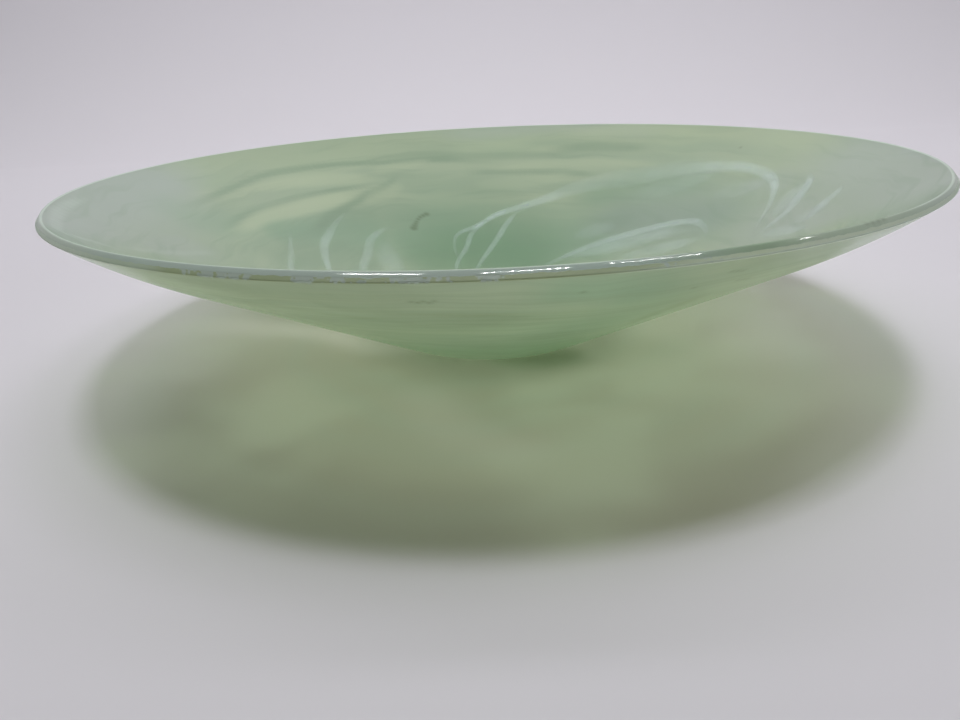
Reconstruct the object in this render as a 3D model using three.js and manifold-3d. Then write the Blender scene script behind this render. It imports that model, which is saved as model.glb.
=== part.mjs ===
// Art glass bowl: one wide, shallow, flat-based bowl of streaky green glass, with threads of
// white opal glass fused into its inner face. Millimetres, +Z up, origin at the middle of the base.
import * as THREE from "three";
import { mergeVertices } from "three/addons/utils/BufferGeometryUtils.js";
import Module from "manifold-3d";

const wasm = await Module();
wasm.setup();

// Driving dimensions of the bowl's outer face, from the base outwards.
const rimRadius = 200; // outer lower edge of the rim
const baseRadius = 38; // flat ground base
const filletRadius = 47; // round between the base and the cone
const coneSlope = THREE.MathUtils.degToRad(28.3);
const flareRadius = 200; // the wall steepens along this arc up to the rim
const rimSlope = THREE.MathUtils.degToRad(39);
const wallThickness = 3.6;
const rimBevel = 0.5; // the ground rim's two edges are broken by this much

// Threads of opal glass.
const trailRadius = 1.6;
const trailSides = 6;
const trailSink = 0.4; // how far a thread's centre lies below the inner face
const trailGap = 0.3; // room between a thread and its groove
const trailStep = 7; // length of one straight piece of a thread

const bowlSides = 80;
const filletSteps = 5;
const flareSteps = 4;

// Each thread is a list of [distance from the axis, angle from +X in degrees] on the inner face.
const trails = {
  opal_trail_great_arc: [
    [72, 113], [98, 102], [112, 89], [130, 74], [150, 59], [158, 47], [164, 36],
    [167, 25], [165, 16], [156, 9], [144, 3], [131, -3],
  ],
  opal_trail_inner_hook: [[72, 98], [86, 93], [101, 86], [115, 79], [125, 71]],
  opal_trail_crescent: [[74, 58], [88, 48], [101, 38], [115, 27], [122, 18], [120, 11], [111, 5]],
  opal_trail_crescent_lining: [[79, 45], [91, 36], [102, 26], [107, 16]],
  opal_trail_right_ray: [[174, 5], [163, 1], [152, -4], [142, -9]],
  opal_trail_right_feather: [[173, -7], [165, -8], [155, -13], [144, -19]],
  opal_trail_left_outer: [[124, 161], [116, 168], [109, 177]],
  opal_trail_left_middle: [[127, 142], [116, 151], [106, 159], [97, 167]],
  opal_trail_left_inner: [[114, 131], [102, 138], [91, 147]],
};

// The outer face in section, as points [r, z] from the edge of the base to the rim.
function outerProfile() {
  const points = [new THREE.Vector2(baseRadius, 0)];
  for (let i = 1; i <= filletSteps; i++) {
    const slope = (coneSlope * i) / filletSteps;
    const r = baseRadius + filletRadius * Math.sin(slope);
    points.push(new THREE.Vector2(r, filletRadius * (1 - Math.cos(slope))));
  }
  const coneStart = points[points.length - 1];
  const flareStart = rimRadius - flareRadius * (Math.sin(rimSlope) - Math.sin(coneSlope));
  const flareHeight = coneStart.y + (flareStart - coneStart.x) * Math.tan(coneSlope);
  for (let i = 0; i <= flareSteps; i++) {
    const slope = coneSlope + ((rimSlope - coneSlope) * i) / flareSteps;
    const r = flareStart + flareRadius * (Math.sin(slope) - Math.sin(coneSlope));
    const z = flareHeight + flareRadius * (Math.cos(coneSlope) - Math.cos(slope));
    points.push(new THREE.Vector2(r, z));
  }
  return points;
}

// A profile moved across the wall by the given distance, each point along its own normal.
function offsetProfile(profile, distance) {
  return profile.map((point, i) => {
    const before = profile[Math.max(i - 1, 0)];
    const after = profile[Math.min(i + 1, profile.length - 1)];
    const along = i === 0 ? new THREE.Vector2(1, 0) : after.clone().sub(before).normalize();
    return new THREE.Vector2(point.x - along.y * distance, point.y + along.x * distance);
  });
}

const outer = outerProfile();
const inner = offsetProfile(outer, wallThickness);

// Height of the inner face at a distance from the axis.
function innerHeight(r) {
  const next = inner.findIndex((point) => point.x >= r);
  if (next <= 0) return inner[0].y;
  const a = inner[next - 1];
  const b = inner[next];
  return a.y + ((b.y - a.y) * (r - a.x)) / (b.x - a.x);
}

// A closed three.js geometry as a manifold-3d solid.
function toSolid(geometry) {
  geometry.deleteAttribute("normal");
  geometry.deleteAttribute("uv");
  const merged = mergeVertices(geometry, 1e-4);
  return new wasm.Manifold(
    new wasm.Mesh({
      numProp: 3,
      vertProperties: merged.attributes.position.array,
      triVerts: new Uint32Array(merged.index.array),
    }),
  );
}

// A manifold-3d solid as a three.js geometry.
function toGeometry(solid) {
  const mesh = solid.getMesh();
  const geometry = new THREE.BufferGeometry();
  geometry.setAttribute("position", new THREE.BufferAttribute(mesh.vertProperties, 3));
  geometry.setIndex(new THREE.BufferAttribute(mesh.triVerts, 1));
  geometry.computeVertexNormals();
  return geometry;
}

// The bowl before its grooves: the section turned about the axis, with both rim edges broken.
function bowlBlank() {
  const outerEdge = outer[outer.length - 1];
  const innerEdge = inner[inner.length - 1];
  const across = innerEdge.clone().sub(outerEdge).normalize();
  const downOutside = outer[outer.length - 2].clone().sub(outerEdge).normalize();
  const downInside = inner[inner.length - 2].clone().sub(innerEdge).normalize();
  const section = [
    new THREE.Vector2(0, 0),
    ...outer.slice(0, -1),
    outerEdge.clone().addScaledVector(downOutside, rimBevel),
    outerEdge.clone().addScaledVector(across, rimBevel),
    innerEdge.clone().addScaledVector(across, -rimBevel),
    innerEdge.clone().addScaledVector(downInside, rimBevel),
    ...inner.slice(0, -1).reverse(),
    new THREE.Vector2(0, wallThickness),
  ];
  const lathe = new THREE.LatheGeometry(section, bowlSides);
  lathe.rotateX(Math.PI / 2); // the lathe turns about Y
  return toSolid(lathe);
}

// One thread's rod, which follows the inner face.
function trailRod(points, radius) {
  const route = new THREE.CatmullRomCurve3(
    points.map(([r, degrees]) => {
      const angle = THREE.MathUtils.degToRad(degrees);
      const z = innerHeight(r) - trailSink;
      return new THREE.Vector3(r * Math.cos(angle), r * Math.sin(angle), z);
    }),
    false,
    "centripetal",
  );
  const section = new THREE.Shape();
  for (let i = 0; i < trailSides; i++) {
    const angle = ((i + 0.5) * 2 * Math.PI) / trailSides;
    const x = radius * Math.cos(angle);
    const y = radius * Math.sin(angle);
    if (i === 0) section.moveTo(x, y);
    else section.lineTo(x, y);
  }
  const steps = Math.ceil(route.getLength() / trailStep);
  const rod = new THREE.ExtrudeGeometry(section, { steps, extrudePath: route });
  return toSolid(rod);
}

const greenGlass = new THREE.MeshStandardMaterial({ color: 0x9db896, roughness: 0.12, metalness: 0 });
const opalGlass = new THREE.MeshStandardMaterial({ color: 0xd5e0e4, roughness: 0.15, metalness: 0 });

const bowl = new THREE.Group();
const blank = bowlBlank();
let wall = blank;
for (const [name, points] of Object.entries(trails)) {
  wall = wall.subtract(trailRod(points, trailRadius + trailGap));
  const trail = trailRod(points, trailRadius).intersect(blank);
  const mesh = new THREE.Mesh(toGeometry(trail), opalGlass);
  mesh.name = name;
  bowl.add(mesh);
}
const wallMesh = new THREE.Mesh(toGeometry(wall), greenGlass);
wallMesh.name = "glass_wall";
bowl.add(wallMesh);

export default bowl;
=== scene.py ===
import math

import bpy
import numpy as np
from mathutils import Matrix, Vector, noise


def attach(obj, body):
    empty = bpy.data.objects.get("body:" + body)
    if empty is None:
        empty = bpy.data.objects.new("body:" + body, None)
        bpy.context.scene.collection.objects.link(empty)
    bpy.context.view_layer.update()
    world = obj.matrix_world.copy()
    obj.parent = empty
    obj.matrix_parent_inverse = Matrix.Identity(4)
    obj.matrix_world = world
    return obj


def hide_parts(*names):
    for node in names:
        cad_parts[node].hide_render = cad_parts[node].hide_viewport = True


# Art glass bowl in streaky green glass, with white opal threads fused into its inner face.
# Lengths in the dictionaries are in millimetres and angles in degrees, unless a line says otherwise.
# A place on the bowl is [distance from the axis, angle round it]: 0 is the right-hand side, -90 the front.
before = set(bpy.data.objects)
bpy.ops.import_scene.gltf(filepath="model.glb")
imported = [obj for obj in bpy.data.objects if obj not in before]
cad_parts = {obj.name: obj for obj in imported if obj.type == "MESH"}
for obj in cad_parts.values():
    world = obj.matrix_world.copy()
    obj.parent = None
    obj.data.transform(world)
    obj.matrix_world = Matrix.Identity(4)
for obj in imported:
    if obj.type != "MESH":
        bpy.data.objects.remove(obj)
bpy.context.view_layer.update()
mm = 0.001


def linear(hexColour):
    # sRGB hex to the linear colour that nodes and lights take
    parts = [int(hexColour[i:i + 2], 16) / 255 for i in (1, 3, 5)]
    return [c / 12.92 if c <= 0.04045 else ((c + 0.055) / 1.055) ** 2.4 for c in parts] + [1.0]


def addNode(tree, kind, inputs=None, **settings):
    # an input that is a socket is linked, and anything else is its value
    made = tree.nodes.new(kind)
    for name, value in settings.items():
        setattr(made, name, value)
    for name, value in (inputs or {}).items():
        if isinstance(value, bpy.types.NodeSocket):
            tree.links.new(value, made.inputs[name])
        else:
            made.inputs[name].default_value = value
    return made


def newMaterial(name):
    material = bpy.data.materials.new(name)
    material.use_nodes = True
    material.node_tree.nodes.clear()
    return material, material.node_tree


def startFresh():
    if bpy.context.mode != "OBJECT":
        bpy.ops.object.mode_set(mode="OBJECT")
    bpy.ops.object.select_all(action="DESELECT")


def mergeAndFaceOut(distance):
    # closes seams and points on the active piece, then turns its faces outwards
    bpy.ops.object.mode_set(mode="EDIT")
    bpy.ops.mesh.select_all(action="SELECT")
    bpy.ops.mesh.remove_doubles(threshold=distance)
    bpy.ops.mesh.normals_make_consistent(inside=False)
    bpy.ops.object.mode_set(mode="OBJECT")


def smoothFall(x):
    # 1 at 0, falling smoothly to 0 at 1
    x = np.clip(x, 0, 1)
    return 1 - x * x * (3 - 2 * x)


# The camera stands a hand's width in front of the rim and looks down into the bowl.
cameraSettings = {
    "place": (-0.7, -371.6, 135.5),
    "pitch": -22.67,  # downwards
    "yaw": 1.34,  # to the left
    "roll": -2.87,
    "lens": 27.08,  # for a frame 36 mm wide
}


def makeCamera(s):
    startFresh()
    bpy.ops.object.camera_add(location=[v * mm for v in s["place"]])
    camera = bpy.context.object
    camera.name = "camera"
    camera.data.lens = s["lens"]
    camera.data.sensor_width = 36
    camera.data.clip_start = 0.005
    turn = Matrix.Rotation(math.radians(s["yaw"]), 4, "Z")
    turn = turn @ Matrix.Rotation(math.radians(90 + s["pitch"]), 4, "X")
    turn = turn @ Matrix.Rotation(math.radians(s["roll"]), 4, "Z")
    camera.rotation_euler = turn.to_euler()
    bpy.context.scene.camera = camera
    print("camera placed")


bowl = {
    "rimRadius": 200,
    "baseRadius": 38,
    "filletRadius": 47,
    "coneSlope": 28.3,
    "flareRadius": 200,
    "rimSlope": 39,
    "wall": 3.6,
    "bandStart": 1.5,  # the cut edge is raw up to here, and ground and polished from here to the inner face
    "lowArris": 0.3,  # radius of the rim's lower edge
    "highArris": 0.7,  # radius of its upper edge
    "crown": 0.02,  # how far the polished band stands out in the middle
    "sides": 600,
    "outerSteps": (4, 6, 16, 8),  # rings across the base, the fillet, the cone and the flare
    "innerSteps": (4, 6, 46, 16),
    "rimRings": (0.5, 1.0, 1.6, 2.4, 3.6),  # extra rings this far below the rim
    "finePart": (-116, -72),  # the front of the rim, from angle to angle, has finer faces for its flakes
    "fineCuts": 7,
    "sharpFrom": 38,  # edges that turn by more than this stay sharp
}


def wallStations(s, counts):
    # the outer face from the axis to the rim, as (radius, height, slope in radians)
    cone = math.radians(s["coneSlope"])
    rim = math.radians(s["rimSlope"])
    stations = [(s["baseRadius"] * i / counts[0], 0.0, 0.0) for i in range(counts[0] + 1)]
    for i in range(1, counts[1] + 1):
        t = cone * i / counts[1]
        r = s["baseRadius"] + s["filletRadius"] * math.sin(t)
        stations.append((r, s["filletRadius"] * (1 - math.cos(t)), t))
    coneStart = stations[-1]
    flareStart = s["rimRadius"] - s["flareRadius"] * (math.sin(rim) - math.sin(cone))
    for i in range(1, counts[2] + 1):
        r = coneStart[0] + (flareStart - coneStart[0]) * i / counts[2]
        stations.append((r, coneStart[1] + (r - coneStart[0]) * math.tan(cone), cone))
    flareHeight = stations[-1][1]
    turns = [cone + (rim - cone) * i / counts[3] for i in range(1, counts[3] + 1)]
    turns = sorted(turns + [rim - below / s["flareRadius"] for below in s["rimRings"]])
    for t in turns:
        r = flareStart + s["flareRadius"] * (math.sin(t) - math.sin(cone))
        stations.append((r, flareHeight + s["flareRadius"] * (math.cos(cone) - math.cos(t)), t))
    return stations


outerLine = wallStations(bowl, bowl["outerSteps"])
innerLine = [
    (r - bowl["wall"] * math.sin(t), z + bowl["wall"] * math.cos(t), t)
    for r, z, t in wallStations(bowl, bowl["innerSteps"])
]
innerRadii, innerHeights, innerSlopes = (np.array(column) for column in zip(*innerLine))
rimHeight = outerLine[-1][1]
# directions at the rim, as (radius, height): across the cut edge, and out of it
rimAcross = (-math.sin(math.radians(bowl["rimSlope"])), math.cos(math.radians(bowl["rimSlope"])))
rimOut = (rimAcross[1], -rimAcross[0])


def rimSection(s):
    # the cut edge from the lower arris to the upper one: a raw flat, then the crowned band
    low, high, start = s["lowArris"], s["highArris"], s["bandStart"]
    places = []
    for i in range(4):
        t = math.pi / 2 * i / 3
        places.append((low - low * math.cos(t), -low + low * math.sin(t)))
    places += [(low + (start - low) * i / 4, -0.01) for i in range(1, 5)]
    for i in range(1, 5):
        u = i / 5
        places.append((start + (s["wall"] - high - start) * u, s["crown"] * 4 * u * (1 - u)))
    for i in range(6):
        t = math.pi / 2 * i / 5
        places.append((s["wall"] - high + high * math.sin(t), -high + high * math.cos(t)))
    return [
        (
            s["rimRadius"] + rimAcross[0] * across + rimOut[0] * out,
            rimHeight + rimAcross[1] * across + rimOut[1] * out,
        )
        for across, out in places
    ]


# Flakes lost from the raw part of the rim: [first angle, last angle, reach down the outside, depth].
rimChips = [
    [-115.4, -113.6, 0.2, 0.30], [-113.4, -112.2, 0.5, 0.35],
    [-111.8, -110.9, 0.8, 0.40], [-110.8, -109.0, 0.6, 0.45],
    [-105.0, -103.6, 0.9, 0.55], [-103.1, -102.5, 0.2, 0.35], [-101.9, -100.9, 0.5, 0.50],
    [-100.8, -99.7, 0.0, 0.30], [-99.6, -98.9, 0.1, 0.30],
    [-97.6, -95.2, 0.5, 0.50], [-95.3, -93.1, 0.0, 0.40],
    [-91.1, -89.8, 0.7, 0.60],
    [-79.7, -78.9, -0.3, 0.30], [-78.6, -78.0, -0.4, 0.30], [-77.8, -77.0, 0.1, 0.35],
    [-74.3, -73.2, 0.0, 0.30],
    [20.0, 21.4, 0.8, 0.5], [68.2, 69.6, 1.2, 0.7], [121.0, 122.1, 0.6, 0.4], [176.0, 177.6, 0.7, 0.5],
    [-150.0, -148.8, 0.4, 0.4], [-28.0, -26.9, 0.6, 0.4],
]
flake = {
    "waver": 0.7,  # waves a millimetre in its outline and floor
    "jag": 1.1,  # and in the finer jags on top of them
    "endFall": 0.1,  # degrees in which its ends go down
    "sideFall": 0.2,  # millimetres in which its sides do
    "inwards": 0.6,  # shares of its depth that the glass goes in, up and down
    "upwards": 0.7,
    "downwards": 0.35,
}


def rimPlaces(points):
    # for each point near the rim: how far across the cut edge it lies and how far below it, and its angle
    r = np.hypot(points[:, 0], points[:, 1])
    dr, dz = r - bowl["rimRadius"], points[:, 2] - rimHeight
    across = dr * rimAcross[0] + dz * rimAcross[1]
    below = -(dr * rimOut[0] + dz * rimOut[1])
    return across, below, np.degrees(np.arctan2(points[:, 1], points[:, 0]))


def meshPoints(mesh):
    points = np.empty(len(mesh.vertices) * 3)
    mesh.vertices.foreach_get("co", points)
    return points.reshape(-1, 3) / mm


def chipRim(mesh):
    # presses the raw edge in where a flake is missing, and returns how chipped each point is
    points = meshPoints(mesh)
    across, below, angle = rimPlaces(points)
    near = np.flatnonzero((below < 3) & (across < 2.2))
    rough = np.zeros(len(points))
    rough[near] = [noise.noise(Vector(p * flake["waver"])) for p in points[near]]
    ragged = np.zeros(len(points))
    ragged[near] = [noise.noise(Vector(p * flake["jag"])) for p in points[near]]
    chipped = np.zeros(len(points))
    for first, last, reach, depth in rimChips:
        # steep ends and a flat floor, as glass breaks
        ends = np.minimum(angle - first, last - angle) + 0.5 * ragged - 0.5 * np.clip(below, 0, 1)
        ends = (ends + 0.2) / flake["endFall"]
        down = (reach + 0.9 * rough + 0.4 * ragged - below) / flake["sideFall"]
        up = (bowl["bandStart"] + 0.2 - across) / flake["sideFall"]
        inside = np.clip(np.minimum(np.minimum(ends, down), up), 0, 1)
        inside[(angle < first - 0.5) | (angle > last + 0.5)] = 0
        press = depth * inside * (0.75 + 0.8 * rough)
        edge = np.minimum(press, np.maximum(depth - across * 0.25, 0.1))
        for axis in (0, 1):
            points[:, axis] *= 1 - edge * rimOut[0] * flake["inwards"] / bowl["rimRadius"]
        points[:, 2] += edge * (rimAcross[1] * flake["upwards"] - rimOut[1] * flake["downwards"])
        chipped = np.maximum(chipped, inside)
    mesh.vertices.foreach_set("co", (points * mm).ravel())
    return chipped


def routePoints(stops, spacing):
    # a smooth line through [radius, angle, half width, ...] stops, as x, y, half width and the rest
    corners = np.array([
        (r * math.cos(math.radians(a)), r * math.sin(math.radians(a)), *rest) for r, a, *rest in stops
    ])
    # one more corner before the first and after the last, so that the line runs on straight there
    corners = np.array([2 * corners[0] - corners[1], *corners, 2 * corners[-1] - corners[-2]])
    line = []
    for a, b, c, d in zip(corners, corners[1:], corners[2:], corners[3:]):
        steps = max(2, round(float(np.hypot(*(c - b)[:2])) / spacing))
        for i in range(steps):
            t = i / steps
            line.append(0.5 * (2 * b + (c - a) * t + (2 * a - 5 * b + 4 * c - d) * t * t
                               + (3 * b - a - 3 * c + d) * t ** 3))
    line.append(corners[-2])
    return np.array(line)


def strokeField(points, drawn, softness):
    # how strongly each point lies in the given strokes, from 0 to 1, fading at the strokes' ends
    field = np.zeros(len(points))
    for strength, stops in drawn:
        line = routePoints(stops, 3)
        line[:, 2] = np.maximum(line[:, 2], 0.4)
        margin = line[:, 2].max() * 2.2
        low, high = line[:, :2].min(0) - margin, line[:, :2].max(0) + margin
        near = np.flatnonzero(((points[:, :2] > low) & (points[:, :2] < high)).all(1))
        best = np.zeros(len(near))
        for i, (x, y, half) in enumerate(line):
            away = np.hypot(points[near, 0] - x, points[near, 1] - y)
            fade = min(1.0, 0.15 + 6 * min(i, len(line) - 1 - i) / len(line))
            best = np.maximum(best, fade * smoothFall((away / half - 1 + softness) / (2 * softness)))
        field[near] = np.maximum(field[near], strength * best)
    return field


# Streaks, veils and shades in the glass: how soft their edges are, then the strokes, each
# as (strength, [[radius, angle, half width], ...]).
strokes = {
    "deepStreak": (0.55, [  # darker green lines
        (0.8, [[169, 172, 2.4], [172, 155, 2.6], [177, 142, 2.6], [176, 127, 2.6], [172, 112, 2.8],
            [171, 100, 4], [166, 88, 4]]),
        (0.7, [[147, 172, 2.6], [150, 160, 2.8], [151, 149, 2.8], [152, 140, 2.4], [152, 130, 2.2],
            [153, 120, 1.8]]),
        (0.5, [[178, 122, 3], [176, 106, 4], [171, 94, 4], [171, 80, 4], [170, 66, 3]]),
        (0.6, [[155, 96, 2.5], [154, 86, 3], [153, 71, 3], [150, 60, 2.5]]),
        (0.55, [[175, 76, 3], [178, 65, 4.5], [179, 52, 3]]),
        (0.9, [[158, 114, 2], [150, 118, 2.8], [142, 127, 3], [132, 139, 3.4], [122, 152, 3]]),
    ]),
    "deepZone": (0.95, [  # wide darker places
        (0.6, [[122, 150, 10], [125, 130, 16], [112, 108, 18], [98, 90, 20], [105, 65, 16]]),
        (0.9, [[118, 176, 12], [104, 160, 17], [92, 143, 15]]),
        (0.4, [[148, 116, 10], [141, 100, 12], [137, 86, 10]]),
        (0.6, [[112, -120, 14], [100, -100, 17], [98, -84, 17]]),
        (0.4, [[168, -108, 10], [168, -96, 10], [167, -86, 10]]),
        (0.9, [[184, -76, 7], [174, -73, 10], [158, -75, 14], [140, -74, 18], [120, -77, 20],
            [100, -84, 16]]),
        (0.3, [[120, 66, 8], [140, 48, 12], [152, 33, 8]]),
        (0.8, [[128, -112, 12], [118, -100, 18], [108, -86, 18], [112, -72, 12]]),
    ]),
    "bottomShade": (0.95, [  # painted shade: darker green towards the bottom, where less light comes through
        (0.8, [[82, 128, 12], [80, 105, 20], [76, 84, 22], [72, 62, 16]]),
        (0.9, [[100, -128, 12], [84, -108, 18], [78, -85, 22], [84, -62, 18], [100, -46, 12]]),
    ]),
    "paleLeaf": (0.5, [  # light leaf-shaped patches
        (0.75, [[168, 154, 2], [166, 142, 5], [164, 134, 6], [161, 127, 6], [158, 119, 3.5]]),
        (0.5, [[164, 120, 3], [167, 113, 4], [171, 104, 2]]),
        (0.95, [[142, 172, 3], [144, 158, 5], [143, 146, 6.5], [144, 136, 6], [147, 126, 3.5]]),
        (0.5, [[158, 90, 3], [161, 76, 4], [163, 62, 4], [165, 46, 3]]),
        (0.35, [[181, 98, 3], [178, 85, 4], [177, 70, 3]]),
        (0.4, [[136, 127, 3], [142, 121, 7], [149, 114, 3]]),
        (0.35, [[143, 94, 4], [144, 81, 6], [149, 68, 4]]),
        (0.6, [[193, 75, 3], [195, 55, 6], [195, 40, 7], [194, 25, 9], [193, 10, 6]]),
    ]),
    "whiteLine": (0.6, [  # thin white lines
        (0.8, [[193, -172, 1.5], [194, -160, 2], [193, -147, 2], [187, -148, 2], [180, -150, 2],
            [170, -151, 1.5]]),
        (0.35, [[172, -153, 2], [160, -158, 2.5], [140, -172, 2]]),
    ]),
    "aquaVeil": (0.95, [  # bluer veils
        (0.35, [[166, 176, 14], [150, 170, 16], [138, 164, 14]]),
        (0.8, [[140, 163, 10], [134, 160, 13], [124, 150, 15], [114, 140, 17], [104, 128, 16]]),
        (0.8, [[96, 138, 14], [104, 112, 20], [92, 90, 26], [92, 55, 20], [100, 30, 14]]),
        (0.5, [[128, 62, 10], [142, 46, 16], [150, 30, 12]]),
        (0.7, [[192, -86, 7], [187, -78, 10], [176, -78, 9]]),
        (0.6, [[150, -76, 12], [128, -80, 16], [105, -88, 20], [112, -104, 14]]),
    ]),
    "hazeAndRimLight": (0.95, [  # grey milky veils at the two ends, and painted light along the rim there and just below the back rim
        (1.0, [[197, -126, 7], [196, -137, 12], [194, -150, 20], [190, -168, 30], [188, 176, 28],
            [188, 165, 13], [191, 156, 6]]),
        (0.7, [[156, -172, 14], [160, -160, 18]]),
        (0.8, [[196, -66, 6], [195, -52, 11], [194, -38, 15], [190, -16, 26], [188, 0, 24],
            [188, 14, 12]]),
        # these four paint light: a pale line just below the back rim, and a paler cut edge at the two ends
        (0.5, [[196, 102, 5], [197, 75, 6], [197, 48, 6]]),
        (0.9, [[199, -162, 4], [199, -142, 4], [199, -126, 3]]),
        (0.6, [[199, -68, 3], [199, -56, 3], [199, -46, 3]]),
        (1.0, [[199, -40, 4], [199, -22, 5], [199, 0, 5]]),
        (0.7, [[150, 2, 20], [146, -12, 22], [158, -22, 16]]),
        (0.5, [[157, 18, 6], [163, 13, 10], [158, 8, 5]]),
    ]),
    "mistVeil": (0.95, [  # a mist inside the great arc
        (1.0, [[110, 52, 14], [118, 38, 18], [126, 22, 20], [132, 10, 16]]),
    ]),
    "dusk": (0.95, [  # darkens the shade near the left and front
        (1.0, [[188, 178, 18], [180, -160, 30], [180, -140, 30], [182, -120, 26], [186, -100, 22],
            [190, -80, 14]]),
    ]),
    "footShade": (0.95, [  # darkens the shade beside the base
        (0.2, [[50, -135, 7], [47, -120, 8], [45, -100, 8]]),
        (0.6, [[41, -92, 8], [47, -74, 11], [54, -61, 11], [60, -49, 9]]),
        (0.15, [[56, -58, 10], [66, -42, 14], [80, -31, 15], [96, -24, 12]]),
    ]),
    "glow": (0.95, [  # brightens the shade
        (1.0, [[160, 172, 11], [130, 175, 11], [109, 177, 9], [90, -179, 9], [74, -169, 10],
            [62, -158, 10], [50, -142, 7]]),
        (0.4, [[92, -120, 8], [98, -107, 12], [116, -100, 12], [130, -90, 10], [138, -80, 8]]),
        (0.33, [[128, -8, 16], [150, -30, 22], [168, -45, 16]]),
    ]),
    "oliveStreak": (0.7, [  # brown-green lines on the outside
        (0.4, [[192, -114, 6], [192, -104, 8], [192, -94, 7]]),
        (0.5, [[198, -122, 2], [195, -115, 2.6], [190, -107, 3], [181, -104, 3], [178, -99, 3],
            [172, -90, 2.6], [160, -83, 2]]),
        (0.5, [[197.5, -118, 1.8], [196, -112, 2.2], [193, -105, 2.2], [190, -100, 1.8]]),
        (0.45, [[180, -123, 3], [167, -118, 4], [150, -117, 4], [132, -117, 3]]),
        (0.4, [[186, -118, 2], [178, -110, 2.4], [168, -103, 2.4], [158, -98, 2]]),
        (0.6, [[171, -68, 3], [155, -67, 4], [141, -67, 4], [120, -65, 3]]),
    ]),
}


def saveField(mesh, name, values):
    attribute = mesh.attributes.new(name, "FLOAT", "POINT")
    attribute.data.foreach_set("value", values.astype(np.float32))


def makeBowl(s):
    section = [(r, z) for r, z, t in outerLine[:-1]]
    section += rimSection(s)
    section += [(r, z) for r, z, t in reversed(innerLine[:-1])]
    startFresh()
    bpy.ops.mesh.primitive_circle_add(vertices=len(section), radius=0.1)
    piece = bpy.context.object
    piece.name = piece.data.name = "glassWall"
    for vert, (r, z) in zip(piece.data.vertices, section):
        vert.co = (r * mm, 0, z * mm)
    # the circle's closing edge lies on the axis, where the wall's two faces stay apart
    for edge in piece.data.edges:
        edge.select = all(piece.data.vertices[v].co.x < 1e-6 for v in edge.vertices)
    bpy.ops.object.mode_set(mode="EDIT")
    bpy.ops.mesh.select_mode(type="EDGE")
    bpy.ops.mesh.delete(type="EDGE")
    bpy.ops.object.mode_set(mode="OBJECT")
    turned = piece.modifiers.new("turned", "SCREW")
    turned.axis = "Z"
    turned.steps = turned.render_steps = s["sides"]
    turned.use_merge_vertices = True
    turned.merge_threshold = 1e-6
    bpy.ops.object.modifier_apply(modifier="turned")
    mergeAndFaceOut(1e-6)

    # finer faces along the front of the rim, where the flakes are closest
    mesh = piece.data
    bpy.ops.object.mode_set(mode="EDIT")
    bpy.ops.mesh.select_all(action="DESELECT")
    bpy.ops.object.mode_set(mode="OBJECT")
    places = meshPoints(mesh)
    heights = places[:, 2]
    across, below, angle = rimPlaces(places)
    chosen = (below < 1.7) & (across < 1.8) & (angle > s["finePart"][0]) & (angle < s["finePart"][1])
    for edge in mesh.edges:
        a, b = edge.vertices
        edge.select = bool(chosen[a] and chosen[b] and abs(heights[a] - heights[b]) < 1e-4)
    bpy.ops.object.mode_set(mode="EDIT")
    bpy.ops.mesh.select_mode(type="EDGE")
    bpy.ops.mesh.subdivide(number_cuts=s["fineCuts"])
    bpy.ops.object.mode_set(mode="OBJECT")

    saveField(mesh, "chipped", chipRim(mesh))
    points = meshPoints(mesh)
    middle = np.interp(np.hypot(points[:, 0], points[:, 1]), innerRadii, innerHeights) - bowl["wall"] / 2
    saveField(mesh, "outside", (points[:, 2] < middle).astype(float))
    for name, (softness, drawn) in strokes.items():
        saveField(mesh, name, strokeField(points, drawn, softness))
    bpy.ops.object.shade_smooth_by_angle(angle=math.radians(s["sharpFrom"]))
    piece.data.materials.append(streakyGlass())
    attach(piece, "root")
    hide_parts("glass_wall")
    mesh.calc_loop_triangles()
    print("bowl wall turned:", len(mesh.loop_triangles), "triangles")


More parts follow.
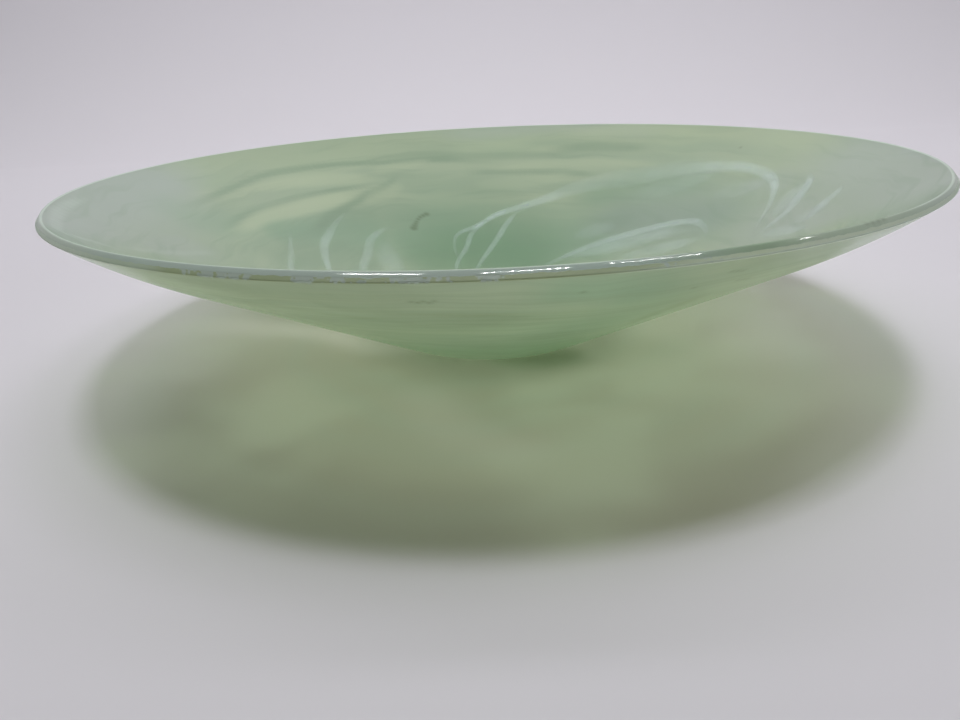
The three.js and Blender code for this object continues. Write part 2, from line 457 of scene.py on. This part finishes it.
glass = {
    "oliveGreen": "#c0cfba",
    "yellowGreen": "#c9d5bf",
    "deepStreak": "#a5baa5",
    "deepZone": "#a7bda7",
    "paleLeaf": "#d5dfc7",
    "aquaVeil": "#a0bfa8",
    # milky veils, and painted light where the strokes reach the rim
    "hazeAndRimLight": "#c8d1ca",
    "mistVeil": "#b0c1b5",
    "oliveStreak": "#929f7f",
    # painted shade, darker green towards the bottom
    "bottomShade": "#92b596",
    # painted shade on the outer face towards the bottom
    "undersideShade": "#93a68e",
    "whiteLine": "#dbe4de",
    # painted reflection: the cut edge paler at the two ends
    "paintedEndReflection": "#dfe6dd",
    "rawEdge": "#c6d2c2",
    "oliveEdge": "#b2bd9b",
    "paleEdge": "#d4dec6",
    # partly the polished edge's own colour and partly painted reflection of the pale room
    "band": "#ccd8d5",
    # painted reflection: the polished band darker green-grey at the right front
    "paintedDarkBandReflection": "#b0c3ad",
    # painted highlight along the arrises
    "arris": "#e6f0e9",
    # painted reflection: the chips' faces pale, as they catch the bright room
    "chipReflection": "#c4cfca",
    "shade": "#c2c5ae",
    "shadeByRim": "#b5b3a0",
    "duskyShade": "#9c9b86",
    "shadeByBase": "#969f88",
    "deepShade": "#73865c",
    "glow": "#e4e6d6",
    "shadeByHaze": "#dde1d6",
    "mark": "#6c7558",
    "roughness": 0.14,
    "bandRoughness": 0.045,
    "rawRoughness": 0.3,  # added on the raw part of the cut edge
    "ior": 1.52,
    "through": 0.4,  # share of the light that goes on through the wall
    "cloudSize": 60,  # millimetres between clouds in the glass
    "wander": 24.0,  # how far the streaks wander in and out, for a cloud of full strength
    "lean": -0.006,  # radians that they turn in each millimetre outwards
    "raggedSize": 3.2,  # millimetres between the jags where the raw edge meets the band
    "raggedDepth": 0.9,
    "rollSize": 18,  # millimetres between the rolls of the blown faces
    "rollHeight": 0.001,  # in metres
    "rollStrength": 0.25,
    "markStrength": 0.45,
    # a brown smear in the bowl: [radius, angle, half width]
    "smudge": [[118.5, 111.2, 2.5], [116.6, 113.6, 2], [113, 115.6, 1.9], [108, 117.8, 2.9]],
    "darkSpots": [  # (radius, angle, half size, on the outside); the four at radius 197.6 make a short dark line along the inner arris
        (183, 31, 1.0, False), (197.6, -57.6, 0.9, False), (197.6, -56.8, 1.2, False),
        (197.6, -56, 1.4, False), (197.6, -55.2, 1.3, False), (188.4, -96.9, 0.9, True),
        (187.6, -96.4, 1.1, True), (188.6, -95.9, 1.0, True), (187.4, -95.5, 1.1, True),
        (188.8, -95, 0.9, True), (190, -83, 1.0, True), (183, -72, 1.0, True), (192.4, -70.4, 0.9, True),
        (192, -69.8, 1.0, True), (191.7, -69.2, 0.9, True), (183.4, -67.4, 1.0, True),
        (183.2, -66.8, 1.1, True), (183, -66.2, 1.0, True),
    ],
    # noise drawn out round the bowl: (name, blotches to a turn, millimetres across a streak, start)
    "noises": (("broad", 7, 16, 0), ("middle", 16, 5, 40), ("fine", 11, 1.8, 80)),
    # where something shows: (the value that it follows, where it is missing, where it is full)
    "ramps": {
        "broadStreak": ("broad", 0.38, 0.62),
        "middleStreak": ("middle", 0.5, 0.72),
        "fineStreak": ("fine", 0.42, 0.75),
        "low": ("length", 190, 160),
        "edge": ("rimBelow", 0.62, 0.34),
        "polished": ("raggedAt", bowl["bandStart"] + 0.35, bowl["bandStart"] + 0.55),
        "nearEdge": ("rimBelow", 1.1, 0.75),
        "upperCorner": ("rimAt", bowl["wall"] - 0.6, bowl["wall"] - 0.3),
        "atEdge": ("rimBelow", 1.0, 0.6),
        "lowerCorner": ("rimAt", 0.6, 0.3),
        "pastLeft": ("angle", -2.10, -2.03),  # these angles are in radians
        "beforeRight": ("angle", -1.25, -1.4),
        "pastFront": ("angle", -1.42, -1.2),
        "beforeFarRight": ("angle", -0.72, -0.95),
        "rightOfFront": ("angle", -1.5, -1.3),
        "nearRim": ("length", 150, 188),
        "broadCloud": ("broad", 0.4, 0.65),
        "cloudy": ("cloud", 0.45, 0.65),
        "nearBase": ("length", 85, 55),
    },
    # what shows only where two others meet
    "overlaps": (
        ("band", "edge", "polished"),
        ("highArris", "nearEdge", "upperCorner"),
        ("lowArris", "atEdge", "lowerCorner"),
        ("olivePart", "pastLeft", "beforeRight"),
        ("rightFrontPart", "pastFront", "beforeFarRight"),
        ("fineOutside", "fineStreak", "outside"),
        ("oliveOutside", "oliveStreak", "outside"),
        ("lowOutsideShade", "low", "outside"),
        ("oliveEdge", "edge", "olivePart"),
        ("paleEdge", "edge", "rightFrontPart"),
        ("paintedDarkBandReflection", "band", "rightFrontPart"),
        ("paintedEndReflection", "edge", "hazeAndRimLight"),
        ("lowArrisHighlight", "lowArris", "rightOfFront"),
    ),
    # tints laid over oliveGreen, in order: (where, tint, strength)
    "tints": (
        ("broadStreak", "yellowGreen", 0.8),
        ("hazeAndRimLight", "hazeAndRimLight", 1.0),
        ("aquaVeil", "aquaVeil", 0.75),
        ("mistVeil", "mistVeil", 0.8),
        ("deepZone", "deepZone", 0.6),
        # painted shade towards the bottom
        ("bottomShade", "bottomShade", 0.7),
        ("middleStreak", "deepStreak", 0.25),
        ("fineOutside", "oliveStreak", 0.17),
        ("deepStreak", "deepStreak", 0.8),
        ("paleLeaf", "paleLeaf", 0.75),
        ("oliveOutside", "oliveStreak", 0.5),
        # painted shade: the outer face darker towards the bottom
        ("lowOutsideShade", "undersideShade", 0.42),
        ("whiteLine", "whiteLine", 0.8),
        ("edge", "rawEdge", 0.95),
        ("oliveEdge", "oliveEdge", 1.0),
        ("paleEdge", "paleEdge", 0.8),
        # the band's colour is partly painted reflection of the pale room
        ("band", "band", 1.0),
        # painted reflection: the band darker green-grey at the right front
        ("paintedDarkBandReflection", "paintedDarkBandReflection", 1.0),
        # painted reflection: the cut edge paler at the two ends
        ("paintedEndReflection", "paintedEndReflection", 0.8),
        # painted reflection on the chips
        ("chipped", "chipReflection", 0.95),
        # painted highlights: a pale line along the upper arris, and along the lower arris right of the front
        ("highArrisHighlight", "arris", 0.9),
        ("lowArrisHighlight", "arris", 0.6),
    ),
    # the same for the light that comes through, over shade
    "shades": (
        ("nearRim", "shadeByRim", 1.0),
        ("dusk", "duskyShade", 0.8),
        ("hazeAndRimLight", "shadeByHaze", 0.75),
        ("broadCloud", "oliveGreen", 0.35),
        ("cloudy", "paleLeaf", 0.5),
        ("glow", "glow", 0.75),
        ("nearBase", "shadeByBase", 0.5),
        ("footShade", "deepShade", 1.0),
    ),
}


def streakyGlass():
    # Streaky opalescent art glass, gathered and spun out, then fire-polished: clear enough to glow
    # when light comes through, milky enough to hide what is behind it, with a wet gloss over all.
    material, tree = newMaterial("streakySpunGlass")
    place = addNode(tree, "ShaderNodeTexCoord").outputs["Object"]
    inMm = addNode(tree, "ShaderNodeMapping", {"Vector": place, "Scale": (1 / mm,) * 3}).outputs[0]
    sides = addNode(tree, "ShaderNodeSeparateXYZ", {0: inMm}).outputs
    flat = addNode(tree, "ShaderNodeCombineXYZ", {"X": sides["X"], "Y": sides["Y"]}).outputs[0]
    length = addNode(tree, "ShaderNodeVectorMath", {0: flat}, operation="LENGTH").outputs["Value"]
    angle = addNode(tree, "ShaderNodeMath", {0: sides["Y"], 1: sides["X"]}, operation="ARCTAN2").outputs[0]
    cloud = addNode(
        tree, "ShaderNodeTexNoise",
        {"Vector": inMm, "Scale": 1 / glass["cloudSize"], "Detail": 2.0, "Roughness": 0.5},
    ).outputs["Fac"]
    # the streaks wander in and out by about a centimetre, and lean as the spinning dragged them
    radius = addNode(
        tree, "ShaderNodeMath", {0: cloud, 1: glass["wander"], 2: length}, operation="MULTIPLY_ADD"
    ).outputs[0]
    twisted = addNode(
        tree, "ShaderNodeMath", {0: radius, 1: glass["lean"], 2: angle}, operation="MULTIPLY_ADD"
    ).outputs[0]
    cosine = addNode(tree, "ShaderNodeMath", {0: twisted}, operation="COSINE").outputs[0]
    sine = addNode(tree, "ShaderNodeMath", {0: twisted}, operation="SINE").outputs[0]
    wound = addNode(tree, "ShaderNodeCombineXYZ", {"X": cosine, "Y": sine, "Z": radius}).outputs[0]
    values = {"length": length, "angle": angle, "cloud": cloud}
    for name, around, across, start in glass["noises"]:
        turn = around / (2 * math.pi)
        drawn = addNode(
            tree, "ShaderNodeMapping",
            {"Vector": wound, "Scale": (turn, turn, 1 / across), "Location": (0, 0, start)},
        ).outputs[0]
        values[name] = addNode(
            tree, "ShaderNodeTexNoise", {"Vector": drawn, "Scale": 1.0, "Detail": 2.0, "Roughness": 0.5}
        ).outputs["Fac"]
    # places on the cut edge, as in rimPlaces
    for name, (along, up) in (("rimAt", rimAcross), ("rimBelow", (-rimOut[0], -rimOut[1]))):
        start = -(bowl["rimRadius"] * along + rimHeight * up)
        part = addNode(
            tree, "ShaderNodeMath", {0: sides["Z"], 1: up, 2: start}, operation="MULTIPLY_ADD"
        ).outputs[0]
        values[name] = addNode(
            tree, "ShaderNodeMath", {0: length, 1: along, 2: part}, operation="MULTIPLY_ADD"
        ).outputs[0]
    ragged = addNode(
        tree, "ShaderNodeTexNoise",
        {"Vector": inMm, "Scale": 1 / glass["raggedSize"], "Detail": 3.0, "Roughness": 0.6},
    ).outputs["Fac"]
    values["raggedAt"] = addNode(
        tree, "ShaderNodeMath", {0: ragged, 1: glass["raggedDepth"], 2: values["rimAt"]},
        operation="MULTIPLY_ADD",
    ).outputs[0]

    # how far each thing shows, from 0 to 1
    share = {}
    for name in ("outside", "chipped", *strokes):
        share[name] = addNode(tree, "ShaderNodeAttribute", attribute_name=name).outputs["Fac"]
    for name, (follows, missing, full) in glass["ramps"].items():
        share[name] = addNode(
            tree, "ShaderNodeMapRange", {"Value": values[follows], "From Min": missing, "From Max": full},
            interpolation_type="SMOOTHSTEP",
        ).outputs["Result"]
    for name, first, second in glass["overlaps"]:
        share[name] = addNode(
            tree, "ShaderNodeMath", {0: share[first], 1: share[second]}, operation="MULTIPLY"
        ).outputs[0]
    # the upper arris gets a painted highlight except on the right front part, and the edge is raw except on
    # the band
    for name, within, hidden in (("highArrisHighlight", "highArris", "rightFrontPart"), ("raw", "edge", "band")):
        away = addNode(
            tree, "ShaderNodeMapRange", {"Value": share[hidden], "From Min": 1.0, "From Max": 0.0},
            interpolation_type="SMOOTHSTEP",
        ).outputs["Result"]
        share[name] = addNode(
            tree, "ShaderNodeMath", {0: share[within], 1: away}, operation="MULTIPLY"
        ).outputs[0]
    mixed = {}
    for base, layers in (("oliveGreen", "tints"), ("shade", "shades")):
        colour = linear(glass[base])
        for where, tint, strength in glass[layers]:
            amount = addNode(
                tree, "ShaderNodeMath", {0: share[where], 1: strength}, operation="MULTIPLY"
            ).outputs[0]
            colour = addNode(
                tree, "ShaderNodeMix", {0: amount, 6: colour, 7: linear(glass[tint])}, data_type="RGBA"
            ).outputs[2]
        mixed[layers] = colour

    # grit, smudges and a short dark line on the inner arris darken it, a few millimetres across
    nearest = 99.0
    smudge = [
        (math.hypot(x, y), math.degrees(math.atan2(y, x)), half, False)
        for x, y, half in routePoints(glass["smudge"], 2.2)
    ]
    for r, a, size, outside in smudge + glass["darkSpots"]:
        line = outerLine if outside else innerLine
        height = float(np.interp(r, [p[0] for p in line], [p[1] for p in line]))
        spot = (r * math.cos(math.radians(a)), r * math.sin(math.radians(a)), height)
        away = addNode(
            tree, "ShaderNodeVectorMath", {0: inMm, 1: spot}, operation="DISTANCE"
        ).outputs["Value"]
        away = addNode(tree, "ShaderNodeMath", {0: away, 1: size}, operation="SUBTRACT").outputs[0]
        nearest = addNode(tree, "ShaderNodeMath", {0: nearest, 1: away}, operation="MINIMUM").outputs[0]
    speck = addNode(tree, "ShaderNodeTexNoise", {"Vector": inMm, "Scale": 1.2, "Detail": 2.0}).outputs["Fac"]
    nearest = addNode(
        tree, "ShaderNodeMath", {0: speck, 1: 0.9, 2: nearest}, operation="MULTIPLY_ADD"
    ).outputs[0]
    marked = addNode(
        tree, "ShaderNodeMapRange",
        {"Value": nearest, "From Min": 1.6, "From Max": -1.8, "To Max": glass["markStrength"]},
        interpolation_type="SMOOTHSTEP",
    ).outputs["Result"]
    colour = addNode(
        tree, "ShaderNodeMix", {0: marked, 6: mixed["tints"], 7: linear(glass["mark"])}, data_type="RGBA"
    ).outputs[2]

    # the blown faces still roll gently, which bends the reflections, and the ground band doesn't
    roll = addNode(
        tree, "ShaderNodeTexNoise", {"Vector": inMm, "Scale": 1 / glass["rollSize"], "Detail": 1.0}
    ).outputs["Fac"]
    rolling = addNode(
        tree, "ShaderNodeMapRange", {"Value": share["edge"], "To Min": glass["rollStrength"], "To Max": 0.0},
        interpolation_type="SMOOTHSTEP",
    ).outputs["Result"]
    wave = addNode(
        tree, "ShaderNodeBump", {"Height": roll, "Strength": rolling, "Distance": glass["rollHeight"]}
    ).outputs[0]
    roughness = addNode(
        tree, "ShaderNodeMapRange",
        {"Value": share["band"], "To Min": glass["roughness"], "To Max": glass["bandRoughness"]},
        interpolation_type="SMOOTHSTEP",
    ).outputs["Result"]
    roughness = addNode(
        tree, "ShaderNodeMath", {0: share["raw"], 1: glass["rawRoughness"], 2: roughness},
        operation="MULTIPLY_ADD",
    ).outputs[0]
    surface = addNode(
        tree, "ShaderNodeBsdfPrincipled",
        {"Base Color": colour, "Normal": wave, "Roughness": roughness, "IOR": glass["ior"]},
    )
    through = addNode(tree, "ShaderNodeBsdfTranslucent", {"Color": colour})
    wall = addNode(
        tree, "ShaderNodeMixShader", {0: glass["through"], 1: surface.outputs[0], 2: through.outputs[0]}
    )
    # light from above comes through green, and falls on the table as a cloudy green shade
    clear = addNode(tree, "ShaderNodeBsdfTransparent", {"Color": mixed["shades"]})
    ray = addNode(tree, "ShaderNodeLightPath").outputs["Is Shadow Ray"]
    both = addNode(tree, "ShaderNodeMixShader", {0: ray, 1: wall.outputs[0], 2: clear.outputs[0]})
    addNode(tree, "ShaderNodeOutputMaterial", {"Surface": both.outputs[0]})
    return material


# Each thread is one or more strands of [radius, angle, half width, how dense the white is] stops.
opalThreads = {
    "opal_trail_great_arc": [
        [[60, 110, 1.5, 0.19], [72, 106, 1.8, 0.25], [87, 106, 2.2, 0.31], [98, 103, 2.6, 0.4],
         [104, 95, 3, 0.46], [113, 88, 3.4, 0.5], [119, 81, 4, 0.4], [129, 71, 5.5, 0.31],
         [138, 65, 8, 0.19], [145, 58, 10, 0.15], [153, 48, 10, 0.17], [162, 38, 8, 0.25],
         [168, 28, 6, 0.34], [168, 21, 5, 0.4], [164, 15, 4, 0.46], [157, 10, 3, 0.5],
         [146, 4, 2.6, 0.43], [137, -1, 2.4, 0.37], [129, -8, 2, 0.28]],
        [[164, 29, 5, 0.08], [155, 33, 9, 0.12], [143, 40, 11, 0.1], [133, 49, 10, 0.05]],
        [[162, 14, 4, 0.08], [154, 18, 9, 0.13], [144, 25, 10, 0.08]],
        [[58, 112, 1.6, 0.19], [73, 108, 2, 0.25], [86, 101, 2.2, 0.31], [99, 97, 2.6, 0.28],
         [111, 90, 2.6, 0.12]],
    ],
    "opal_trail_inner_hook": [
        [[58, 104, 1.6, 0.19], [71, 97, 2, 0.25], [91, 88, 2.6, 0.31], [106, 84, 3, 0.34],
         [119, 80, 3, 0.19]],
    ],
    "opal_trail_crescent": [
        [[64, 72, 2, 0.19], [74, 60, 2.6, 0.25], [83, 53, 3, 0.31], [93, 45, 3.6, 0.37],
         [103, 37, 3.8, 0.37], [115, 28, 4, 0.37], [123, 20, 3.8, 0.37], [121, 12, 3, 0.31],
         [115, 7, 2.6, 0.19]],
    ],
    "opal_trail_crescent_lining": [
        [[78, 58, 3, 0.15], [88, 43, 6, 0.25], [98, 33, 7.5, 0.28], [109, 25, 7.5, 0.25],
         [117, 17, 5, 0.15]],
        [[84, 34, 4, 0.08], [97, 20, 7, 0.2], [107, 13, 7, 0.22], [116, 9, 5, 0.16]],
        [[94, 58, 4, 0.05], [102, 51, 7, 0.15], [109, 43, 6, 0.06]],
    ],
    "opal_trail_right_ray": [
        [[175, 9, 2, 0.31], [168, 5, 3, 0.4], [158, 1, 3.6, 0.37], [148, -3, 3.4, 0.31],
         [138, -6, 3, 0.28], [130, -8, 2.6, 0.19]],
        [[170, 7, 4, 0.12], [161, 4, 7, 0.22], [151, 1, 6, 0.19], [141, -3, 5, 0.09]],
    ],
    "opal_trail_right_feather": [
        [[173, -4, 2, 0.25], [168, -6, 3.6, 0.34], [161, -8, 3.6, 0.28], [155, -11, 3.2, 0.22],
         [148, -14, 2.6, 0.15]],
        [[164, -7, 3, 0.09], [155, -10, 7, 0.19], [145, -12, 7, 0.12]],
        [[134, -7, 3, 0.09], [140, -12, 6, 0.19], [147, -17, 5, 0.19], [152, -17, 3, 0.09]],
    ],
    "opal_trail_left_outer": [
        [[129, 156, 1.4, 0.06], [122, 162, 1.8, 0.14], [115, 168, 2.1, 0.2], [108, 178, 2.3, 0.25],
         [98, 189, 2.3, 0.2]],
    ],
    "opal_trail_left_middle": [
        [[135, 132, 1.8, 0.07], [127, 139, 2.4, 0.13], [119, 146, 3, 0.24], [113, 152, 3.2, 0.34],
         [105, 158, 3, 0.36], [96, 165, 2.6, 0.4], [86, 174, 2.2, 0.31]],
    ],
    "opal_trail_left_inner": [
        [[112, 123, 2, 0.13], [111, 129, 2.8, 0.22], [105, 136, 3.2, 0.26], [96, 142, 3.4, 0.24],
         [87, 152, 3.2, 0.24], [76, 164, 2.4, 0.25]],
        [[104, 130, 4, 0.05], [93, 134, 8, 0.16], [82, 138, 9, 0.18], [70, 146, 8, 0.12]],
    ],
}
thread = {
    "proud": 0.14,  # how far a thread stands out of the inner face
    "sunk": 0.7,  # and how deep it goes into the wall
    "spacing": 1.6,  # between two rings along it
    "around": 24,  # points round it
    "taper": 0.35,  # the ends narrow to a point as a sine to this power
    "wisps": 90.0,  # in the white, in a metre
    "colour": "#d2e1e0",
    "roughness": 0.14,
    "ior": 1.5,
}


def makeStrand(stops):
    # a flat grid wrapped into a lens-shaped thread that lies half sunk in the inner face
    line = routePoints(stops, thread["spacing"])
    steps = len(line) - 1
    startFresh()
    bpy.ops.mesh.primitive_grid_add(x_subdivisions=steps, y_subdivisions=thread["around"], size=1)
    piece = bpy.context.object
    along = np.gradient(line[:, :2], axis=0)
    along /= np.hypot(along[:, 0], along[:, 1])[:, None]
    white = []
    for vert in piece.data.vertices:
        i = round((vert.co.x + 0.5) * steps)
        turn = (vert.co.y + 0.5) * 2 * math.pi
        taper = math.sin(math.pi * i / steps) ** thread["taper"] if 0 < i < steps else 0.0
        across = line[i, 2] * taper * math.cos(turn)
        x = line[i, 0] - along[i, 1] * across
        y = line[i, 1] + along[i, 0] * across
        r = math.hypot(x, y)
        slope = float(np.interp(r, innerRadii, innerSlopes))
        height = thread["proud" if math.sin(turn) > 0 else "sunk"] * math.sin(turn) * taper
        outwards = height * math.sin(slope) / r
        vert.co = (
            (x - x * outwards) * mm,
            (y - y * outwards) * mm,
            (float(np.interp(r, innerRadii, innerHeights)) + height * math.cos(slope)) * mm,
        )
        fade = min(1.0, 5 * min(i, steps - i) / steps)
        white.append(line[i, 3] * fade * max(math.sin(turn), 0.0) ** 2)
    saveField(piece.data, "opalShare", np.array(white))
    mergeAndFaceOut(1e-6)
    return piece


def opalGlass():
    # White opal glass, trailed on hot and melted in: a milky blue-white smear with no hard edge.
    material, tree = newMaterial("whiteOpalThread")
    place = addNode(tree, "ShaderNodeTexCoord").outputs["Object"]
    wisps = addNode(
        tree, "ShaderNodeTexNoise",
        {"Vector": place, "Scale": thread["wisps"], "Detail": 2.0, "Roughness": 0.5},
    ).outputs["Fac"]
    thin = addNode(
        tree, "ShaderNodeMapRange", {"Value": wisps, "From Min": 0.3, "From Max": 0.65, "To Min": 0.65},
        interpolation_type="SMOOTHSTEP",
    ).outputs["Result"]
    white = addNode(tree, "ShaderNodeAttribute", attribute_name="opalShare").outputs["Fac"]
    alpha = addNode(tree, "ShaderNodeMath", {0: white, 1: thin}, operation="MULTIPLY").outputs[0]
    surface = addNode(
        tree, "ShaderNodeBsdfPrincipled",
        {
            "Alpha": alpha,
            "Base Color": linear(thread["colour"]),
            "Roughness": thread["roughness"],
            "IOR": thread["ior"],
        },
    )
    clear = addNode(tree, "ShaderNodeBsdfTransparent")
    ray = addNode(tree, "ShaderNodeLightPath").outputs["Is Shadow Ray"]
    both = addNode(tree, "ShaderNodeMixShader", {0: ray, 1: surface.outputs[0], 2: clear.outputs[0]})
    addNode(tree, "ShaderNodeOutputMaterial", {"Surface": both.outputs[0]})
    return material


def makeThreads():
    material = opalGlass()
    for node, strands in opalThreads.items():
        made = [makeStrand(stops) for stops in strands]
        startFresh()
        for piece in made:
            piece.select_set(True)
        bpy.context.view_layer.objects.active = made[0]
        if len(made) > 1:
            bpy.ops.object.join()
        piece = bpy.context.object
        piece.name = piece.data.name = node.replace("opal_trail", "opalThread")
        bpy.ops.object.shade_smooth()
        piece.data.materials.clear()
        piece.data.materials.append(material)
        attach(piece, "root")
        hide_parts(node)
    print("opal threads laid:", len(opalThreads))


studio = {
    "paper": "#d9d6dc",
    "paperFront": -2500,  # the sheet's front edge
    "paperHalf": 2600,  # half its width
    "paperTop": 2600,
    "bend": 450,  # radius of the sheet's sweep up into the backdrop
    "bendSteps": 24,
    "wallBehind": 1300,  # from the bowl's axis to the backdrop
    "room": "#e6e6ec",
    "sky": 0.045,
    "roomSeen": 0.45,  # added where the room shows beyond the paper
    # soft panels, which light everything: (name, place, width, depth, watts, aim)
    "panels": (
        ("ceilingLamp", (146, -214, 5000), 860, 860, 100, (0, 0, 60)),
        ("nearLamp", (105, -70, 850), 240, 200, 1.25, (0, 0, 60)),
        ("wallWash", (0, 500, 1500), 2400, 400, 12.4, (0, 1300, 400)),
    ),
    # strips that draw short bright lines on the rim: (name, x, y, width, depth, watts, turn)
    "stripHeight": 1500,
    "strips": (("stripLeft", -598, -800, 466, 60, 5, -17), ("smallRight", 1900, -70, 175, 60, 2.2, 35)),
    # rows of short strips: (name, first place, last place, depth of each)
    "rows": (("dotsMiddle", (-46, -955), (385, -870), 50), ("dotsRight", (595, -705), (1075, -540), 160)),
    "rowCount": 10,
    "rowWidth": 24,
    "rowWatts": 0.6,
}


def paperSweep(s):
    # one sheet of pale paper: flat under the bowl, then curved up into the backdrop
    startFresh()
    bpy.ops.mesh.primitive_plane_add(size=1)
    piece = bpy.context.object
    piece.name = "paperSweep"
    front, half, turn = s["paperFront"], s["paperHalf"], s["wallBehind"] - s["bend"]
    corners = ((-half, front), (half, front), (half, turn), (-half, turn))
    ordered = sorted(piece.data.vertices, key=lambda v: math.atan2(v.co.y, v.co.x))
    for vert, (x, y) in zip(ordered, corners):
        vert.co = (x * mm, y * mm, 0)
    bpy.ops.object.mode_set(mode="EDIT")
    bpy.ops.mesh.select_all(action="DESELECT")
    bpy.ops.object.mode_set(mode="OBJECT")
    for vert in piece.data.vertices:
        vert.select = vert.co.y > 0
    for edge in piece.data.edges:
        edge.select = all(piece.data.vertices[v].select for v in edge.vertices)
    bpy.ops.object.mode_set(mode="EDIT")
    bpy.ops.mesh.select_mode(type="EDGE")
    radius = s["bend"] * mm
    for i in range(s["bendSteps"]):
        a = math.pi / 2 * i / s["bendSteps"]
        b = math.pi / 2 * (i + 1) / s["bendSteps"]
        step = (0, radius * (math.sin(b) - math.sin(a)), radius * (math.cos(a) - math.cos(b)))
        bpy.ops.mesh.extrude_region_move(TRANSFORM_OT_translate={"value": step})
    wall = (0, 0, (s["paperTop"] - s["bend"]) * mm)
    bpy.ops.mesh.extrude_region_move(TRANSFORM_OT_translate={"value": wall})
    bpy.ops.object.mode_set(mode="OBJECT")
    bpy.ops.object.shade_smooth()
    material, tree = newMaterial("mattPaper")
    surface = addNode(
        tree, "ShaderNodeBsdfPrincipled",
        {"Base Color": linear(s["paper"]), "Roughness": 0.7, "Specular IOR Level": 0.2},
    )
    addNode(tree, "ShaderNodeOutputMaterial", {"Surface": surface.outputs[0]})
    piece.data.materials.append(material)


def addLamp(name, place, width, depth, watts, aim=None, turn=0):
    # with an aim, it lights everything and draws no highlight;
    # without one it hangs level, turned by so many degrees, draws a highlight and lights nothing
    startFresh()
    bpy.ops.object.light_add(type="AREA", location=[v * mm for v in place])
    lamp = bpy.context.object
    lamp.name = name
    lamp.data.shape = "RECTANGLE"
    lamp.data.size = width * mm
    lamp.data.size_y = depth * mm
    lamp.data.energy = watts
    lamp.visible_glossy = aim is None
    lamp.visible_diffuse = lamp.visible_transmission = aim is not None
    if aim is None:
        lamp.rotation_euler = (0, 0, math.radians(turn))
    else:
        lamp.rotation_euler = (Vector(aim) * mm - lamp.location).to_track_quat("-Z", "Y").to_euler()


def lightStudio(s):
    world = bpy.data.worlds.new("softRoom")
    bpy.context.scene.world = world
    world.use_nodes = True
    background = world.node_tree.nodes["Background"]
    background.inputs["Color"].default_value = linear(s["room"])
    # the room is dim, but looks as pale as the paper wherever it shows beyond it
    seen = addNode(world.node_tree, "ShaderNodeLightPath").outputs["Is Camera Ray"]
    strength = addNode(
        world.node_tree, "ShaderNodeMath", {0: seen, 1: s["roomSeen"], 2: s["sky"]}, operation="MULTIPLY_ADD"
    ).outputs[0]
    world.node_tree.links.new(strength, background.inputs["Strength"])
    for name, place, width, depth, watts, aim in s["panels"]:
        addLamp(name, place, width, depth, watts, aim)
    for name, x, y, width, depth, watts, turn in s["strips"]:
        addLamp(name, (x, y, s["stripHeight"]), width, depth, watts, turn=turn)
    for name, first, last, depth in s["rows"]:
        turn = math.degrees(math.atan2(last[1] - first[1], last[0] - first[0]))
        for i in range(s["rowCount"]):
            along = i / (s["rowCount"] - 1)
            x = first[0] + (last[0] - first[0]) * along
            y = first[1] + (last[1] - first[1]) * along
            addLamp(name + str(i), (x, y, s["stripHeight"]), s["rowWidth"], depth, s["rowWatts"], turn=turn)
    print("paper swept and lamps hung")


makeCamera(cameraSettings)
paperSweep(studio)
lightStudio(studio)
makeBowl(bowl)
makeThreads()
bpy.context.scene.view_settings.view_transform = "Standard"
